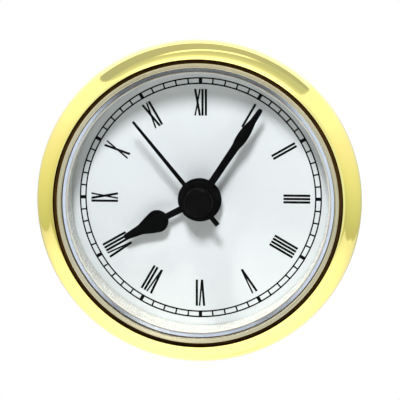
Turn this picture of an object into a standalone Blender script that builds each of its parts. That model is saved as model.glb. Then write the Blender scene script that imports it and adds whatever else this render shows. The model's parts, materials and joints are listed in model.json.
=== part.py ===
"""Quartz clock insert, 70 mm: gold bezel, crystal, dial, three hands and the quartz movement behind them.

The dial faces -Y, twelve o'clock is +Z and three o'clock is +X. The origin is on the hands' axis, in the
plane of the flange that seats on the panel. Every wheel turns about an axis parallel to Y.
"""

import math

import bmesh
import bpy
from mathutils.geometry import convex_hull_2d, delaunay_2d_cdt

MM = 0.001

# Driving dimensions, in millimetres. Places along Y run from the front (negative) to the back.
RING_SIDES = 40
PLATE_SIDES = 32
SHAFT_SIDES = 16

BEZEL_RADIUS = 35.0
BEZEL_CREST_RADIUS = 31.6
BEZEL_BORE = 31.1
BEZEL_WALL = 0.7
BEZEL_SHOULDER = -0.9
BEZEL_FRONT = -5.7
BEZEL_LEG_BACK = -1.2

SEAL_INNER = 30.05
SEAL_OUTER = 31.0
SEAL_FRONT = -4.9
RETAINING_OUTER = 30.25
RETAINING_FRONT = -5.6
RETAINING_BACK = -5.1
LENS_RADIUS = 29.9
LENS_FRONT = -4.95
LENS_BACK = -4.1
VISIBLE_RADIUS = 29.3
WALL_INNER = 27.95

FLANGE_RADIUS = 33.9
CUP_BORE = 29.4
CUP_RADIUS = 29.95
CUP_TAIL_RADIUS = 28.5
CUP_TAIL_BORE = 27.8
CUP_BACK = 17.0
LEDGE_FRONT = 4.6
LEDGE_BACK = 5.2
LEDGE_WIDTH = 1.6
BAND_FRONT = 8.0
BAND_RIBS = 3
RIB_PITCH = 2.0
RIB_HEIGHT = 1.0

DIAL_RADIUS = 29.1
DIAL_FRONT = 4.0
DIAL_THICKNESS = 0.35
DIAL_HOLE = 2.6

HOUR_HAND_FRONT = 1.3
MINUTE_HAND_FRONT = -0.4
SECOND_HAND_FRONT = -1.7
CAP_FRONT = -3.4
CAP_RADIUS = 3.05
HOUR_EYE = 4.75
MINUTE_EYE = 4.15
SECOND_EYE = 2.4
HAND_THICKNESS = 0.3
SECOND_HAND_THICKNESS = 0.2
# Bore, collar radius and collar back of each hand.
HOUR_COLLAR = (1.56, 2.6, 3.2)
MINUTE_COLLAR = (0.98, 1.9, 1.0)
SECOND_COLLAR = (0.46, 1.0, -0.8)
CAP_SOCKET_FLOOR = -2.6

PLATE_FRONT = 5.5
PLATE_BACK = 6.5
PLATE_RADIUS = 27.5
PIVOT_END = 5.8
BRIDGE_FRONT = 12.8
BRIDGE_BACK = 13.6
BRIDGE_PIVOT_END = 13.4
TUBE_FRONT = 3.6
TUBE_RADIUS = 2.3
TUBE_BORE = 1.65
BACK_FRONT = 15.2
BACK_FACE = 18.2

# Time shown, and the angles of the hands measured clockwise from twelve.
HOUR_ANGLE = 241.4
MINUTE_ANGLE = 33.3
SECOND_ANGLE = 319.9

# Wheel teeth. Wheels on one pair of centres share the distance, which sets their modules.
CANNON_TEETH = 10
MOTION_TEETH = 30
MOTION_PINION_TEETH = 8
HOUR_TEETH = 32
SETTING_TEETH = 10
MOTION_MODULE = 0.25
PINION_TEETH = 6
CENTRE_TEETH = 48
THIRD_TEETH = 45
THIRD_MODULE = 0.24
CENTRE_MODULE = THIRD_MODULE * (PINION_TEETH + THIRD_TEETH) / (PINION_TEETH + CENTRE_TEETH)
SECONDS_TEETH = 30
SECONDS_MODULE = 0.346
INTERMEDIATE_TEETH = 36
ROTOR_MODULE = 0.226
ADDENDUM = 0.8
DEDENDUM = 1.1

# Front and back face of each toothed part.
CANNON_FACES = (7.5, 8.3)
MOTION_PINION_FACES = (6.7, 7.6)
MOTION_WHEEL_FACES = (7.6, 8.2)
HOUR_WHEEL_FACES = (6.8, 7.3)
SETTING_FACES = (7.5, 8.3)
THIRD_PINION_FACES = (8.8, 9.5)
THIRD_WHEEL_FACES = (9.9, 10.4)
CENTRE_WHEEL_FACES = (8.9, 9.4)
SECONDS_PINION_FACES = (9.8, 10.5)
SECONDS_WHEEL_FACES = (10.9, 11.4)
INTERMEDIATE_PINION_FACES = (10.8, 11.5)
INTERMEDIATE_WHEEL_FACES = (11.8, 12.3)
ROTOR_PINION_FACES = (11.7, 12.4)
MAGNET_FACES = (9.3, 11.1)

# Shafts and pipes.
ARBOR_RADIUS = 0.4
PIVOT_RADIUS = 0.25
MINUTE_PIPE = (-0.5, 9.6)
MINUTE_PIPE_RADIUS = 0.92
HOUR_PIPE_FRONT = 1.25
HOUR_PIPE_RADIUS = 1.5
SECONDS_ARBOR_FRONT = -2.4

# Screws: head radius, shank radius, shank front, slot length and slot width.
BRIDGE_SCREW = (1.3, 0.55, 8.9, 1.9, 0.35)
COIL_SCREW = (1.1, 0.45, 7.6, 1.6, 0.3)
BACK_SCREW = (1.6, 0.75, 11.0, 2.4, 0.45)
BRIDGE_SCREW_HOLE = 0.75
COIL_SCREW_HOLE = 0.65

# The stepping motor.
STATOR_FACES = (9.7, 10.4)
CORE_FACES = (10.6, 11.2)
COIL_AXIS = 10.9
MAGNET_RADIUS = 2.2
STATOR_BORE = 2.6
BOBBIN_FLANGE = 3.2
BOBBIN_BARREL = 1.8
WINDING_RADIUS = 2.9

# The setting knob, the cell and its well.
KNOB_RADIUS = 4.2
KNOB_FRONT = 16.3
KNOB_RIDGES = 18
SETTING_SHAFT = 0.6
CELL_FACES = (11.6, 16.9)
CELL_RADIUS = 5.8
WELL_BORE = 6.15
WELL_OUTER = 6.9

# Material name: colour, roughness, metallic.
MATERIALS = {
    "polished_gold": ((0.86, 0.68, 0.30), 0.12, 1.0),
    "seal_black": ((0.03, 0.02, 0.015), 0.45, 0.0),
    "clear_acrylic": ((0.90, 0.94, 0.95), 0.05, 0.0),
    "fluted_plastic": ((0.82, 0.82, 0.74), 0.30, 0.0),
    "dial_white": ((0.86, 0.89, 0.91), 0.45, 0.0),
    "hand_black": ((0.02, 0.02, 0.02), 0.40, 0.0),
    "case_metal": ((0.72, 0.60, 0.33), 0.30, 1.0),
    "band_rubber": ((0.05, 0.05, 0.05), 0.75, 0.0),
    "plate_plastic": ((0.75, 0.74, 0.70), 0.45, 0.0),
    "wheel_plastic": ((0.90, 0.88, 0.80), 0.40, 0.0),
    "back_plastic": ((0.05, 0.05, 0.055), 0.50, 0.0),
    "brass": ((0.78, 0.60, 0.28), 0.30, 1.0),
    "steel": ((0.60, 0.60, 0.60), 0.30, 1.0),
    "magnet": ((0.25, 0.25, 0.26), 0.40, 1.0),
    "copper": ((0.72, 0.33, 0.18), 0.35, 1.0),
    "board_green": ((0.05, 0.25, 0.12), 0.50, 0.0),
    "chip_black": ((0.02, 0.02, 0.02), 0.35, 0.0),
}


def clear_scene():
    """Start from an empty scene."""
    for thing in list(bpy.data.objects):
        bpy.data.objects.remove(thing, do_unlink=True)


def material(name):
    """The Principled material of that name, made once."""
    if name in bpy.data.materials:
        return bpy.data.materials[name]
    colour, roughness, metallic = MATERIALS[name]
    made = bpy.data.materials.new(name)
    made.use_nodes = True
    shader = made.node_tree.nodes["Principled BSDF"]
    shader.inputs["Base Color"].default_value = (*colour, 1.0)
    shader.inputs["Roughness"].default_value = roughness
    shader.inputs["Metallic"].default_value = metallic
    return made


def finish(bm, name, finish_name, centre):
    """Turn a bmesh in millimetres into a named object whose origin is on the axis through centre."""
    bmesh.ops.scale(bm, vec=(MM, MM, MM), verts=bm.verts)
    bmesh.ops.recalc_face_normals(bm, faces=bm.faces)
    mesh = bpy.data.meshes.new(name)
    bm.to_mesh(mesh)
    bm.free()
    mesh.shade_smooth()
    mesh.set_sharp_from_angle(angle=math.radians(35))
    mesh.materials.append(material(finish_name))
    made = bpy.data.objects.new(name, mesh)
    made.location = (centre[0] * MM, 0.0, centre[1] * MM)
    bpy.context.scene.collection.objects.link(made)
    return made


def polar(radius, angle, centre=(0.0, 0.0)):
    """The point at radius and angle (radians, from +X towards +Z) about centre."""
    return (centre[0] + radius * math.cos(angle), centre[1] + radius * math.sin(angle))


def circle(radius, sides=SHAFT_SIDES, centre=(0.0, 0.0)):
    """A round outline."""
    return [polar(radius, 2 * math.pi * step / sides, centre) for step in range(sides)]


def arc(centre, radii, start, stop, count):
    """Points along an elliptical arc, angles in degrees."""
    points = []
    for step in range(count + 1):
        angle = math.radians(start + (stop - start) * step / count)
        points.append((centre[0] + radii[0] * math.cos(angle), centre[1] + radii[1] * math.sin(angle)))
    return points


def rectangle(left, right, bottom, top):
    """A rectangular outline."""
    return [(left, bottom), (right, bottom), (right, top), (left, top)]


def strip(start, angle, near, far, width):
    """A rectangular outline along the direction angle (degrees), from near to far of start."""
    along = math.radians(angle)
    across = along + math.pi / 2
    outline = []
    for distance, side in ((near, -width / 2), (far, -width / 2), (far, width / 2), (near, width / 2)):
        outline.append(polar(side, across, polar(distance, along, start)))
    return outline


def inside(point, loop):
    """Whether a point is inside a closed outline."""
    x, y = point
    odd = False
    for (x1, y1), (x2, y2) in zip(loop, loop[1:] + loop[:1]):
        if (y1 > y) != (y2 > y) and x < x1 + (y - y1) * (x2 - x1) / (y2 - y1):
            odd = not odd
    return odd


def cap_triangles(loops):
    """Triangles, as index triples, over the area that an odd number of the outlines cover."""
    points = [point for loop in loops for point in loop]
    edges = []
    first = 0
    for loop in loops:
        count = len(loop)
        edges += [(first + step, first + (step + 1) % count) for step in range(count)]
        first += count
    cut_points, _, faces, origins, _, _ = delaunay_2d_cdt(points, edges, [], 1, 1e-6)
    triangles = []
    for face in faces:
        middle = [sum(cut_points[index][axis] for index in face) / len(face) for axis in (0, 1)]
        if sum(inside(middle, loop) for loop in loops) % 2:
            triangles.append([origins[index][0] for index in face])
    return triangles


def layered(name, finish_name, layers, centre=(0.0, 0.0), axis="Y", offset=(0.0, 0.0)):
    """A solid of flat layers (front, back, outlines) stacked along an axis.

    Outlines of neighbouring layers are either the very same list, whose wall then runs on, or nested.
    For axis "X" or "Z" the outlines lie across that axis, about offset.
    """
    bm = bmesh.new()
    placed = {}

    def ring(loop, depth):
        key = (id(loop), depth)
        if key not in placed:
            if axis == "Y":
                corners = [(u, depth, v) for u, v in loop]
            elif axis == "X":
                corners = [(depth, offset[0] + u, offset[1] + v) for u, v in loop]
            else:
                corners = [(offset[0] + u, offset[1] + v, depth) for u, v in loop]
            placed[key] = [bm.verts.new(corner) for corner in corners]
        return placed[key]

    loops_of = [[]] + [list(outlines) for _, _, outlines in layers] + [[]]
    planes = [layers[0][0]] + [back for _, back, _ in layers]
    started = {}
    for depth, before, after in zip(planes, loops_of, loops_of[1:]):
        kept = {id(loop) for loop in before} & {id(loop) for loop in after}
        changed = [loop for loop in before + after if id(loop) not in kept]
        corners = [vertex for loop in changed for vertex in ring(loop, depth)]
        for triangle in cap_triangles(changed):
            bm.faces.new([corners[index] for index in triangle])
        for loop in before:
            if id(loop) not in kept:
                near, far = ring(loop, started[id(loop)]), ring(loop, depth)
                for step in range(len(loop)):
                    after_step = (step + 1) % len(loop)
                    bm.faces.new((near[step], near[after_step], far[after_step], far[step]))
        for loop in after:
            if id(loop) not in kept:
                started[id(loop)] = depth
    return finish(bm, name, finish_name, centre)


def turned(name, finish_name, profile, sides=RING_SIDES, centre=(0.0, 0.0)):
    """A ring spun about Y from a closed profile of (radius, y), or a solid from one that ends on the axis."""
    bm = bmesh.new()
    verts = [bm.verts.new((radius, y, 0.0)) for radius, y in profile]
    pairs = list(zip(verts, verts[1:]))
    if profile[0][0] > 0:
        pairs.append((verts[-1], verts[0]))
    edges = [bm.edges.new(pair) for pair in pairs]
    bmesh.ops.spin(
        bm, geom=verts + edges, cent=(0, 0, 0), axis=(0, -1, 0), angle=2 * math.pi, steps=sides, use_merge=True
    )
    bmesh.ops.remove_doubles(bm, verts=bm.verts, dist=1e-4)
    return finish(bm, name, finish_name, centre)


def gear(teeth, module, phase=0.0):
    """The outline of a wheel with straight-sided teeth, thinned for backlash; phase turns it (radians)."""
    pitch = teeth * module / 2
    root, tip = pitch - DEDENDUM * module, pitch + ADDENDUM * module
    step = 2 * math.pi / teeth
    corners = ((root, -0.30), (tip, -0.12), (tip, 0.12), (root, 0.30))
    return [polar(radius, phase + (tooth + share) * step) for tooth in range(teeth) for radius, share in corners]


def meshed(phase, teeth, other_teeth, direction):
    """The phase of a wheel that meshes with one of the given phase, lying in that direction from it."""
    share = (phase - direction) / (2 * math.pi / teeth)
    return direction + math.pi - share * (2 * math.pi / other_teeth) + math.pi / other_teeth


def centre_distance(teeth, other_teeth, module):
    """How far apart two meshing wheels stand."""
    return (teeth + other_teeth) * module / 2


def smooth(points, steps):
    """Points along a Catmull-Rom curve through the given points."""
    padded = [points[0]] + points + [points[-1]]
    curve = []
    for before, start, stop, after in zip(padded, padded[1:], padded[2:], padded[3:]):
        for step in range(steps):
            t = step / steps
            place = []
            for p0, p1, p2, p3 in zip(before, start, stop, after):
                bend = (2 * p0 - 5 * p1 + 4 * p2 - p3) * t * t + (3 * p1 - p0 - 3 * p2 + p3) * t ** 3
                place.append(p1 + ((p2 - p0) * t + bend) / 2)
            curve.append(tuple(place))
    return curve + [points[-1]]


def hand_outline(eye, side, clockwise, tail=()):
    """A hand's outline: half widths along its length mirrored, closed round the eye, turned clockwise."""
    direction = math.pi / 2 - math.radians(clockwise)
    start = math.asin(side[0][1] / eye)
    outline = [(distance, -half) for distance, half in side]
    outline += [(distance, half) for distance, half in reversed(side)]
    if tail:
        end = math.asin(tail[0][1] / eye)
        outline += arc((0, 0), (eye, eye), math.degrees(start) + 12, 180 - math.degrees(end) - 12, 6)
        outline += [(-distance, half) for distance, half in tail]
        outline += [(-distance, -half) for distance, half in reversed(tail)]
        outline += arc((0, 0), (eye, eye), 180 + math.degrees(end) + 12, 360 - math.degrees(start) - 12, 6)
    else:
        outline += arc((0, 0), (eye, eye), math.degrees(start) + 12, 348 - math.degrees(start), 20)
    return [polar(math.hypot(x, y), direction + math.atan2(y, x)) for x, y in outline]


def screw(name, centre, sizes, head_front, head_back):
    """A slotted screw of the given sizes whose head is at the back."""
    head, shank, shank_front, slot_length, slot_width = sizes
    body = circle(shank, 10)
    rim = circle(head, 16)
    groove = rectangle(-slot_length / 2, slot_length / 2, -slot_width / 2, slot_width / 2)
    floor = head_back - (head_back - head_front) * 0.45
    layers = [(shank_front, head_front, [body]), (head_front, floor, [rim]), (floor, head_back, [rim, groove])]
    layered(name, "steel", layers, centre)


# Places of the wheels and fixings, as (x, z) in millimetres.
MOTION_DIRECTION = math.radians(-35)
SETTING_DIRECTION = math.radians(-60)
THIRD_DIRECTION = math.radians(170)
INTERMEDIATE_DIRECTION = math.radians(60)
ROTOR_DIRECTION = math.radians(100)
AXIS = (0.0, 0.0)
MOTION = polar(centre_distance(CANNON_TEETH, MOTION_TEETH, MOTION_MODULE), MOTION_DIRECTION)
SETTING = polar(centre_distance(SETTING_TEETH, MOTION_TEETH, MOTION_MODULE), SETTING_DIRECTION, MOTION)
THIRD = polar(centre_distance(PINION_TEETH, THIRD_TEETH, THIRD_MODULE), THIRD_DIRECTION)
INTERMEDIATE = polar(centre_distance(PINION_TEETH, SECONDS_TEETH, SECONDS_MODULE), INTERMEDIATE_DIRECTION)
ROTOR = polar(centre_distance(PINION_TEETH, INTERMEDIATE_TEETH, ROTOR_MODULE), ROTOR_DIRECTION, INTERMEDIATE)
BATTERY = (-12.5, -13.0)
BACK_SCREWS = [polar(24.0, math.radians(angle)) for angle in (50, 145, 295)]
BRIDGE_SCREWS = [(9.2, 3.6), (-11.0, 6.5), (2.0, -8.6)]
COIL_X = ROTOR[0] - 0.8
COIL_Z = 17.9
COIL_SCREWS = [(COIL_X - 8.2, COIL_Z), (COIL_X + 8.2, COIL_Z)]
BOARD = (-25.0, -13.0, -5.0, 8.0)
BOARD_PADS = [(-22.6, 6.2), (-15.0, -3.2)]


def bezel_and_crystal():
    """The visible rings, from the gold bezel in to the fluted wall, and the crystal."""
    reach = BEZEL_RADIUS - BEZEL_CREST_RADIUS
    height = BEZEL_SHOULDER - BEZEL_FRONT
    outer = arc((BEZEL_CREST_RADIUS, BEZEL_SHOULDER), (reach, -height), 0, 90, 6)
    inner_reach = (reach - BEZEL_WALL, BEZEL_WALL - height)
    inner = arc((BEZEL_CREST_RADIUS, BEZEL_SHOULDER), inner_reach, 85, 0, 3)
    profile = [(BEZEL_RADIUS, 0.0)] + outer + [(BEZEL_BORE, BEZEL_FRONT + 0.4), (BEZEL_BORE, BEZEL_LEG_BACK)]
    profile += [(BEZEL_BORE + BEZEL_WALL, BEZEL_LEG_BACK)] + inner + [(BEZEL_RADIUS - BEZEL_WALL, 0.0)]
    turned("bezel_ring", "polished_gold", profile)

    seal = [circle(SEAL_OUTER, RING_SIDES), circle(SEAL_INNER, RING_SIDES)]
    layered("crystal_gasket", "seal_black", [(SEAL_FRONT, BEZEL_LEG_BACK, seal)])

    ring = [
        (RETAINING_OUTER, RETAINING_BACK),
        (RETAINING_OUTER, RETAINING_FRONT + 0.15),
        (RETAINING_OUTER - 0.2, RETAINING_FRONT),
        (VISIBLE_RADIUS + 0.2, RETAINING_FRONT),
        (VISIBLE_RADIUS, RETAINING_FRONT + 0.2),
        (VISIBLE_RADIUS, RETAINING_BACK),
    ]
    turned("retaining_ring", "polished_gold", ring)

    layered("crystal_lens", "clear_acrylic", [(LENS_FRONT, LENS_BACK, [circle(LENS_RADIUS, RING_SIDES)])])

    wall = [circle(VISIBLE_RADIUS - 0.05, RING_SIDES), circle(WALL_INNER, RING_SIDES)]
    layered("reflector_ring", "fluted_plastic", [(LENS_BACK + 0.2, DIAL_FRONT - 0.3, wall)])


def hand_with_collar(name, outline, front, thickness, collar):
    """A flat hand with the collar behind it that grips its pipe."""
    bore_radius, collar_radius, collar_back = collar
    bore = circle(bore_radius)
    back = front + thickness
    layered(name, "hand_black", [(front, back, [outline, bore]), (back, collar_back, [circle(collar_radius), bore])])


def dial_and_hands():
    """The dial plate, the three hands and the cap."""
    dial = [circle(DIAL_RADIUS, RING_SIDES), circle(DIAL_HOLE, SHAFT_SIDES)]
    layered("dial_plate", "dial_white", [(DIAL_FRONT, DIAL_FRONT + DIAL_THICKNESS, dial)])

    hour_bulb = [(8.0, 0.70), (8.3, 1.30), (9.1, 2.10), (10.4, 2.47), (12.4, 1.93), (14.4, 1.15)]
    hour_side = [(4.6, 0.74)] + smooth(hour_bulb, 2)
    hour_side = hour_side + [(17.2, 0.78), (18.2, 0.62), (18.4, 0.35)]
    hand = hand_outline(HOUR_EYE, hour_side, HOUR_ANGLE)
    hand_with_collar("hour_hand", hand, HOUR_HAND_FRONT, HAND_THICKNESS, HOUR_COLLAR)

    minute_side = smooth([(4.0, 0.78), (13.4, 0.86), (15.2, 1.10), (17.0, 1.20), (19.0, 1.03), (20.8, 0.68)], 3)
    minute_side = minute_side + [(23.4, 0.54), (23.9, 0.38), (24.0, 0.16)]
    hand = hand_outline(MINUTE_EYE, minute_side, MINUTE_ANGLE)
    hand_with_collar("minute_hand", hand, MINUTE_HAND_FRONT, HAND_THICKNESS, MINUTE_COLLAR)

    hand = hand_outline(SECOND_EYE, [(2.3, 0.50), (22.3, 0.28)], SECOND_ANGLE, [(2.3, 0.53), (6.55, 0.53)])
    hand_with_collar("second_hand", hand, SECOND_HAND_FRONT, SECOND_HAND_THICKNESS, SECOND_COLLAR)

    cap_back = SECOND_HAND_FRONT - 0.15
    socket = SECOND_COLLAR[0]
    cap = [(0.0, CAP_FRONT)] + arc((CAP_RADIUS - 0.4, CAP_FRONT + 0.4), (0.4, -0.4), 90, 0, 3)
    cap += [(CAP_RADIUS, cap_back), (socket, cap_back), (socket, CAP_SOCKET_FLOOR), (0.0, CAP_SOCKET_FLOOR)]
    turned("second_cap", "hand_black", cap, 24)


def case_cup_and_band():
    """The thin cup that goes into the panel, and the ribbed rubber band that grips the hole."""
    profile = [
        (CUP_BORE, BEZEL_SHOULDER),
        (FLANGE_RADIUS, BEZEL_SHOULDER),
        (FLANGE_RADIUS, 0.0),
        (CUP_RADIUS, 0.0),
        (CUP_RADIUS, LEDGE_BACK + 0.4),
        (CUP_TAIL_RADIUS, LEDGE_BACK + 1.0),
        (CUP_TAIL_RADIUS, CUP_BACK),
        (CUP_TAIL_BORE, CUP_BACK),
        (CUP_TAIL_BORE, LEDGE_BACK),
        (CUP_TAIL_BORE - LEDGE_WIDTH, LEDGE_BACK),
        (CUP_TAIL_BORE - LEDGE_WIDTH, LEDGE_FRONT),
        (CUP_BORE, LEDGE_FRONT),
    ]
    turned("case_cup", "case_metal", profile)

    inner, valley = CUP_TAIL_RADIUS + 0.2, CUP_TAIL_RADIUS + 0.9
    band = [(inner, BAND_FRONT), (valley, BAND_FRONT)]
    for rib in range(BAND_RIBS):
        band.append((valley + RIB_HEIGHT, BAND_FRONT + (rib + 0.5) * RIB_PITCH))
        band.append((valley, BAND_FRONT + (rib + 1) * RIB_PITCH))
    band.append((inner, BAND_FRONT + BAND_RIBS * RIB_PITCH))
    turned("grip_band", "band_rubber", band)


def plates():
    """The front plate with its tube, posts and pads, and the rear bearing plate with its screws."""
    rim = circle(PLATE_RADIUS, RING_SIDES)
    tube_bore = circle(TUBE_BORE)
    tube = circle(TUBE_RADIUS)
    pivots = [circle(0.42, 8, place) for place in (THIRD, INTERMEDIATE, ROTOR, SETTING)]
    motion_post = circle(0.5, 10, MOTION)
    bridge_posts = [circle(1.4, 12, place) for place in BRIDGE_SCREWS]
    bridge_holes = [circle(BRIDGE_SCREW_HOLE, 8, place) for place in BRIDGE_SCREWS]
    coil_pads = [circle(1.3, 12, place) for place in COIL_SCREWS]
    coil_holes = [circle(COIL_SCREW_HOLE, 8, place) for place in COIL_SCREWS]
    board_pads = [circle(1.0, 10, place) for place in BOARD_PADS]
    back_posts = [circle(2.1, 12, place) for place in BACK_SCREWS]
    back_holes = [circle(0.95, 8, place) for place in BACK_SCREWS]
    low = coil_pads + back_posts + bridge_posts
    layers = [
        (TUBE_FRONT, PLATE_FRONT, [tube, tube_bore]),
        (PLATE_FRONT, PLATE_BACK, [rim, tube_bore] + pivots),
        (PLATE_BACK, 7.2, low + board_pads + [motion_post]),
        (7.2, 8.5, low + board_pads + [motion_post] + coil_holes),
        (8.5, 8.7, low + board_pads + coil_holes + bridge_holes),
        (8.7, 9.4, low + coil_holes + bridge_holes),
        (9.4, 10.5, back_posts + bridge_posts + bridge_holes),
        (10.5, BRIDGE_FRONT - 0.2, back_posts + back_holes + bridge_posts + bridge_holes),
        (BRIDGE_FRONT - 0.2, BACK_FRONT - 0.3, back_posts + back_holes),
    ]
    layered("front_plate", "plate_plastic", layers)

    around = [point for place in BRIDGE_SCREWS + [ROTOR] for point in circle(2.3, 16, place)]
    outline = [around[index] for index in convex_hull_2d(around)]
    holes = [circle(0.35, 8, place) for place in (AXIS, THIRD, INTERMEDIATE, ROTOR)]
    holes += [circle(BRIDGE_SCREW_HOLE, 8, place) for place in BRIDGE_SCREWS]
    layered("train_bridge", "plate_plastic", [(BRIDGE_FRONT, BRIDGE_BACK, [outline] + holes)])
    for number, place in enumerate(BRIDGE_SCREWS, 1):
        screw(f"bridge_screw_{number}", place, BRIDGE_SCREW, BRIDGE_BACK + 0.2, BRIDGE_BACK + 1.0)


def motion_work():
    """The wheels that carry the minute and hour hands, and the setting knob that drives them."""
    minute_phase = math.radians(18)
    pipe, pipe_bore = circle(MINUTE_PIPE_RADIUS), circle(0.5)
    cannon = gear(CANNON_TEETH, MOTION_MODULE, minute_phase)
    layers = [
        (MINUTE_PIPE[0], CANNON_FACES[0], [pipe, pipe_bore]),
        (*CANNON_FACES, [cannon, pipe_bore]),
        (CANNON_FACES[1], MINUTE_PIPE[1], [pipe, pipe_bore]),
    ]
    layered("minute_pipe", "brass", layers)

    motion_phase = meshed(minute_phase, CANNON_TEETH, MOTION_TEETH, MOTION_DIRECTION)
    wheel = gear(MOTION_TEETH, MOTION_MODULE, motion_phase)
    pinion = gear(MOTION_PINION_TEETH, MOTION_MODULE, 0.0)
    bore = circle(0.6, 12)
    layers = [(*MOTION_PINION_FACES, [pinion, bore]), (*MOTION_WHEEL_FACES, [wheel, bore])]
    layered("motion_wheel", "wheel_plastic", layers, MOTION)

    hour_phase = meshed(0.0, MOTION_PINION_TEETH, HOUR_TEETH, MOTION_DIRECTION + math.pi)
    wheel = gear(HOUR_TEETH, MOTION_MODULE, hour_phase)
    bore = circle(1.05)
    layers = [(HOUR_PIPE_FRONT, HOUR_WHEEL_FACES[0], [circle(HOUR_PIPE_RADIUS), bore])]
    layered("hour_wheel", "wheel_plastic", layers + [(*HOUR_WHEEL_FACES, [wheel, bore])])

    setting_phase = meshed(motion_phase, MOTION_TEETH, SETTING_TEETH, SETTING_DIRECTION)
    pinion = gear(SETTING_TEETH, MOTION_MODULE, setting_phase)
    knurl = []
    for step in range(2 * KNOB_RIDGES):
        knurl.append(polar(KNOB_RADIUS if step % 2 else KNOB_RADIUS - 0.25, math.pi * step / KNOB_RIDGES))
    shaft, pivot = circle(SETTING_SHAFT, 12), circle(0.32, 8)
    layers = [
        (PIVOT_END, SETTING_FACES[0], [pivot]),
        (*SETTING_FACES, [pinion]),
        (SETTING_FACES[1], KNOB_FRONT, [shaft]),
        (KNOB_FRONT, BACK_FACE - 0.2, [knurl]),
    ]
    layered("setting_knob", "back_plastic", layers, SETTING)


def running_train():
    """The rotor and the wheels from it to the second hand and on to the centre wheel."""
    arbor, thin_pivot = circle(ARBOR_RADIUS), circle(PIVOT_RADIUS, 8)
    second_phase = 0.1
    pinion = gear(PINION_TEETH, THIRD_MODULE, second_phase)
    wheel = gear(SECONDS_TEETH, SECONDS_MODULE, second_phase)
    layers = [
        (SECONDS_ARBOR_FRONT, SECONDS_PINION_FACES[0], [arbor]),
        (*SECONDS_PINION_FACES, [pinion]),
        (SECONDS_PINION_FACES[1], SECONDS_WHEEL_FACES[0], [arbor]),
        (*SECONDS_WHEEL_FACES, [wheel]),
        (SECONDS_WHEEL_FACES[1], BRIDGE_PIVOT_END, [thin_pivot]),
    ]
    layered("seconds_wheel", "wheel_plastic", layers)

    third_phase = meshed(second_phase, PINION_TEETH, THIRD_TEETH, THIRD_DIRECTION)
    wheel = gear(THIRD_TEETH, THIRD_MODULE, third_phase)
    pinion = gear(PINION_TEETH, CENTRE_MODULE, 0.0)
    layers = [
        (PIVOT_END, THIRD_PINION_FACES[0], [thin_pivot]),
        (*THIRD_PINION_FACES, [pinion]),
        (THIRD_PINION_FACES[1], THIRD_WHEEL_FACES[0], [arbor]),
        (*THIRD_WHEEL_FACES, [wheel]),
        (THIRD_WHEEL_FACES[1], BRIDGE_PIVOT_END, [thin_pivot]),
    ]
    layered("third_wheel", "wheel_plastic", layers, THIRD)

    centre_phase = meshed(0.0, PINION_TEETH, CENTRE_TEETH, THIRD_DIRECTION + math.pi)
    wheel = gear(CENTRE_TEETH, CENTRE_MODULE, centre_phase)
    layered("centre_wheel", "brass", [(*CENTRE_WHEEL_FACES, [wheel, circle(1.0)])])

    pinion_phase = meshed(second_phase, SECONDS_TEETH, PINION_TEETH, INTERMEDIATE_DIRECTION)
    pinion = gear(PINION_TEETH, SECONDS_MODULE, pinion_phase)
    wheel = gear(INTERMEDIATE_TEETH, ROTOR_MODULE, 0.0)
    layers = [
        (PIVOT_END, INTERMEDIATE_PINION_FACES[0], [thin_pivot]),
        (*INTERMEDIATE_PINION_FACES, [pinion]),
        (INTERMEDIATE_PINION_FACES[1], INTERMEDIATE_WHEEL_FACES[0], [arbor]),
        (*INTERMEDIATE_WHEEL_FACES, [wheel]),
        (INTERMEDIATE_WHEEL_FACES[1], BRIDGE_PIVOT_END, [thin_pivot]),
    ]
    layered("intermediate_wheel", "wheel_plastic", layers, INTERMEDIATE)

    rotor_phase = meshed(0.0, INTERMEDIATE_TEETH, PINION_TEETH, ROTOR_DIRECTION)
    pinion = gear(PINION_TEETH, ROTOR_MODULE, rotor_phase)
    layers = [
        (PIVOT_END, MAGNET_FACES[0] - 0.2, [thin_pivot]),
        (MAGNET_FACES[0] - 0.2, ROTOR_PINION_FACES[0], [arbor]),
        (*ROTOR_PINION_FACES, [pinion]),
        (ROTOR_PINION_FACES[1], BRIDGE_PIVOT_END, [thin_pivot]),
    ]
    layered("rotor_pinion", "wheel_plastic", layers, ROTOR)
    layered("rotor_magnet", "magnet", [(*MAGNET_FACES, [circle(MAGNET_RADIUS, 24), circle(0.5)])], ROTOR)


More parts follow.
